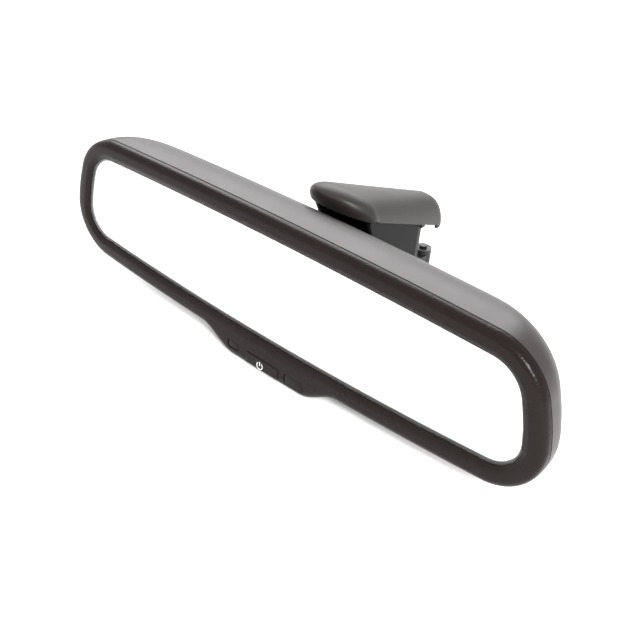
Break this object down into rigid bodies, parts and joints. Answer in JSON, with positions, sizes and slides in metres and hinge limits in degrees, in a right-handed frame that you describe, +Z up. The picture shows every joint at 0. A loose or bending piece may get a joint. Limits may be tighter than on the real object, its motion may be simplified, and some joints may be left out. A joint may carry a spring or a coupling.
{
  "type": "interior rearview mirror",
  "caption": "Auto-dimming interior rearview mirror: wide domed head with a switch chin, on a ball-jointed stay with a channel for a windshield button.",
  "frame": {"origin": "centre of the channel seat at the stay's far end, where the windshield button bears", "axes": "+X along the mirror's width, to the right seen from the driver; +Y from the driver towards the windshield, along the seat's normal; +Z up"},
  "size_m": [0.2652, 0.1182, 0.0795],
  "materials": {
    "bezel_plastic": "semi-gloss moulded black",
    "front_glass": "clear polished glass",
    "gel": "clear dimming gel",
    "seal": "cured sealant",
    "mirror_glass": "silvered glass",
    "contact_metal": "plated contact metal",
    "foam": "adhesive foam",
    "inner_plastic": "moulded black, unpainted",
    "board": "green solder mask",
    "components": "moulded black packages",
    "screw_steel": "zinc plated",
    "plunger_plastic": "natural moulded",
    "button_plastic": "satin moulded black",
    "white_print": "white pad print",
    "dark_lens": "smoked polished lens",
    "led": "moulded lamp body",
    "photocell": "tinted sensor body",
    "clear_plastic": "clear moulded light guide",
    "socket_plastic": "glass-filled black",
    "ribbon": "flat ribbon insulation",
    "housing_plastic": "fine-grained satin black",
    "cast_metal": "die cast",
    "liner_light": "natural low-friction moulding",
    "liner_dark": "grey low-friction moulding",
    "ball_steel": "ground steel",
    "stay_metal": "black coated die casting",
    "cover_plastic": "satin moulded black",
    "lower_plastic": "satin moulded black",
    "black_steel": "black oxide"
  },
  "bodies": {
    "mount": {"stay": "stay_metal", "ball_stud": "ball_steel", "upper_cover": "cover_plastic", "lower_cover": "lower_plastic", "cover_screw": "black_steel", "set_screw": "black_steel"},
    "roll_seat": {"roll_liner": "liner_dark"},
    "pan_seat": {"pan_liner": "liner_light"},
    "head": {"front_bezel": "bezel_plastic", "ec_front_glass": "front_glass", "ec_gel": "gel", "ec_edge_seal": "seal", "ec_rear_glass": "mirror_glass", "bus_clips": "contact_metal", "glass_pad": "foam", "glass_carrier": "inner_plastic", "circuit_board": "board", "board_components": "components", "board_screws": "screw_steel", "switch_board": "board", "tact_switch": "components", "indicator_lens": "dark_lens", "indicator_led": "led", "glare_sensor_lens": "dark_lens", "glare_photocell": "photocell", "ambient_sensor_lens": "dark_lens", "light_guide": "clear_plastic", "harness_socket": "socket_plastic", "socket_pins": "contact_metal", "ribbon_lead": "ribbon", "rear_housing": "housing_plastic", "ball_socket": "cast_metal", "socket_screws": "screw_steel"},
    "button": {"power_button": "button_plastic", "power_symbol": "white_print", "switch_plunger": "plunger_plastic"}
  },
  "joints": [
    {"name": "mirror_roll", "type": "hinge", "parent": "mount", "child": "roll_seat", "pos_m": [0, -0.0645, 0.014], "axis": [0, 0.9426, -0.3338], "range_deg": [-6, 6]},
    {"name": "mirror_pan", "type": "hinge", "parent": "roll_seat", "child": "pan_seat", "pos_m": [0, -0.0645, 0.014], "axis": [0, 0, 1], "range_deg": [-10, 10]},
    {"name": "mirror_tilt", "type": "hinge", "parent": "pan_seat", "child": "head", "pos_m": [0, -0.0645, 0.014], "axis": [1, 0, 0], "range_deg": [-3, 20]},
    {"name": "power_button_press", "type": "slide", "parent": "head", "child": "button", "axis": [0, 1, 0], "range_m": [0, 0.0005], "stiffness_N_per_m": 2500, "springref_m": -0.0004}
  ]
}
